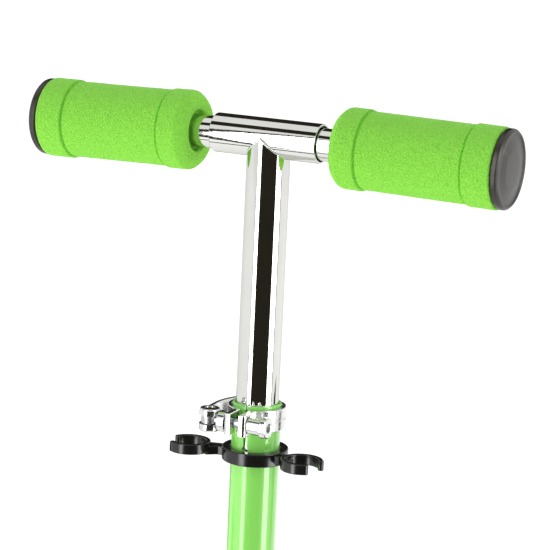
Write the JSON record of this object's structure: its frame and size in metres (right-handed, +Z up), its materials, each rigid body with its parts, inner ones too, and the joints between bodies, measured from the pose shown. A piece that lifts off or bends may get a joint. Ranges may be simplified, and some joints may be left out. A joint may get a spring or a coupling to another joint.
{
  "type": "folding kick scooter",
  "caption": "Folding kick scooter with a telescoping T-bar, pull-out foam grips, a storage clip, a quick-release height clamp and a sprung fender brake.",
  "frame": {"origin": "centre of the footprint, on the ground under the wheels", "axes": "+Z up, the scooter rolls towards -Y, +X is the rider's left"},
  "size_m": [0.3014, 0.595, 0.7914],
  "materials": {
    "foam": "bright lime closed-cell foam, fine pebbled skin, matt",
    "chrome_tube": "mirror chrome plate",
    "green_paint": "bright green gloss powder coat",
    "black_plastic": "black moulded plastic, satin gloss",
    "grey_cap": "dark warm-grey moulded rubber, satin",
    "zinc_steel": "bright zinc-plated steel",
    "bearing_steel": "ground bearing steel",
    "aluminium": "brushed, clear anodised",
    "wheel_core": "white moulded nylon",
    "tyre": "translucent-looking green polyurethane, satin",
    "grip_tape": "black abrasive grit on film",
    "spring_steel": "oiled spring wire"
  },
  "bodies": {
    "deck_assembly": {"deck": "aluminium", "grip_tape": "grip_tape", "front_bracket": "zinc_steel", "rear_bracket": "zinc_steel", "front_deck_bolt_left": "zinc_steel", "front_deck_bolt_right": "zinc_steel", "rear_deck_bolt_left": "zinc_steel", "rear_deck_bolt_right": "zinc_steel", "fold_pivot_bolt": "zinc_steel", "fold_pivot_nut": "zinc_steel", "fold_lock_skewer": "zinc_steel", "fold_lock_nut": "chrome_tube", "rear_axle_bolt": "zinc_steel", "rear_axle_nut": "zinc_steel", "rear_bearing_spacer": "aluminium", "fender_pin": "zinc_steel", "fender_spring": "spring_steel"},
    "neck": {"folding_neck": "green_paint", "lower_bearing_cup": "aluminium", "upper_bearing_cup": "aluminium", "lower_headset_bearing": "bearing_steel", "upper_headset_bearing": "bearing_steel"},
    "steering_assembly": {"fork": "chrome_tube", "headset_locknut": "zinc_steel", "steering_column": "green_paint", "column_base_clamp": "aluminium", "base_clamp_bolt_lower": "zinc_steel", "base_clamp_bolt_upper": "zinc_steel", "height_clamp_band": "chrome_tube", "clamp_skewer": "zinc_steel", "clamp_cam_seat": "chrome_tube", "clamp_adjusting_nut": "chrome_tube", "grip_clip": "black_plastic", "front_axle_bolt": "zinc_steel", "front_axle_nut": "zinc_steel", "front_bearing_spacer": "aluminium"},
    "front_wheel": {"front_tyre": "tyre", "front_wheel_core": "wheel_core", "front_bearing_left": "bearing_steel", "front_bearing_right": "bearing_steel"},
    "rear_wheel": {"rear_tyre": "tyre", "rear_wheel_core": "wheel_core", "rear_bearing_left": "bearing_steel", "rear_bearing_right": "bearing_steel"},
    "height_clamp_lever": {"clamp_lever": "chrome_tube", "clamp_lever_pin": "chrome_tube"},
    "handlebar": {"handlebar_stem": "chrome_tube", "stem_end_bush": "black_plastic"},
    "left_handle": {"left_handle_tube": "chrome_tube", "left_foam_grip": "foam", "left_end_cap": "grey_cap", "left_snap_button": "spring_steel"},
    "right_handle": {"right_handle_tube": "chrome_tube", "right_foam_grip": "foam", "right_end_cap": "grey_cap", "right_snap_button": "spring_steel"},
    "fold_lever": {"fold_lock_lever": "black_plastic", "fold_lock_lever_pin": "chrome_tube"},
    "fender": {"brake_fender": "aluminium"}
  },
  "joints": [
    {"name": "fold", "type": "hinge", "parent": "deck_assembly", "child": "neck", "pos_m": [0, -0.1635, 0.078], "axis": [-1, 0, 0], "range_deg": [0, 84]},
    {"name": "steering", "type": "hinge", "parent": "neck", "child": "steering_assembly", "pos_m": [0, -0.23705, 0.14945], "axis": [0, 0.1045, 0.9945], "continuous": true},
    {"name": "front_wheel_spin", "type": "hinge", "parent": "steering_assembly", "child": "front_wheel", "pos_m": [0, -0.2475, 0.05], "axis": [1, 0, 0], "continuous": true},
    {"name": "rear_wheel_spin", "type": "hinge", "parent": "deck_assembly", "child": "rear_wheel", "pos_m": [0, 0.2375, 0.05], "axis": [1, 0, 0], "continuous": true},
    {"name": "bar_height", "type": "slide", "parent": "steering_assembly", "child": "handlebar", "axis": [0, 0.1045, 0.9945], "range_m": [-0.135, 0.06]},
    {"name": "left_handle_pull", "type": "slide", "parent": "handlebar", "child": "left_handle", "axis": [0.9998, -0.0018, -0.0174], "range_m": [0, 0.03], "deforming": ["left_snap_button"]},
    {"name": "right_handle_pull", "type": "slide", "parent": "handlebar", "child": "right_handle", "axis": [-0.9998, -0.0018, -0.0174], "range_m": [0, 0.03], "deforming": ["right_snap_button"]},
    {"name": "height_clamp_release", "type": "hinge", "parent": "steering_assembly", "child": "height_clamp_lever", "pos_m": [-0.019, -0.21318, 0.60611], "axis": [0, 0.1045, 0.9945], "range_deg": [0, 150]},
    {"name": "fold_lock_release", "type": "hinge", "parent": "deck_assembly", "child": "fold_lever", "pos_m": [-0.0244, -0.14052, 0.05872], "axis": [0, -1, 0], "range_deg": [0, 120]},
    {"name": "fender_brake", "type": "hinge", "parent": "deck_assembly", "child": "fender", "pos_m": [0, 0.188, 0.084], "axis": [-1, 0, 0], "range_deg": [0, 4.8], "stiffness_Nm_per_rad": 4, "springref_deg": -8.59, "deforming": ["fender_spring"]}
  ]
}
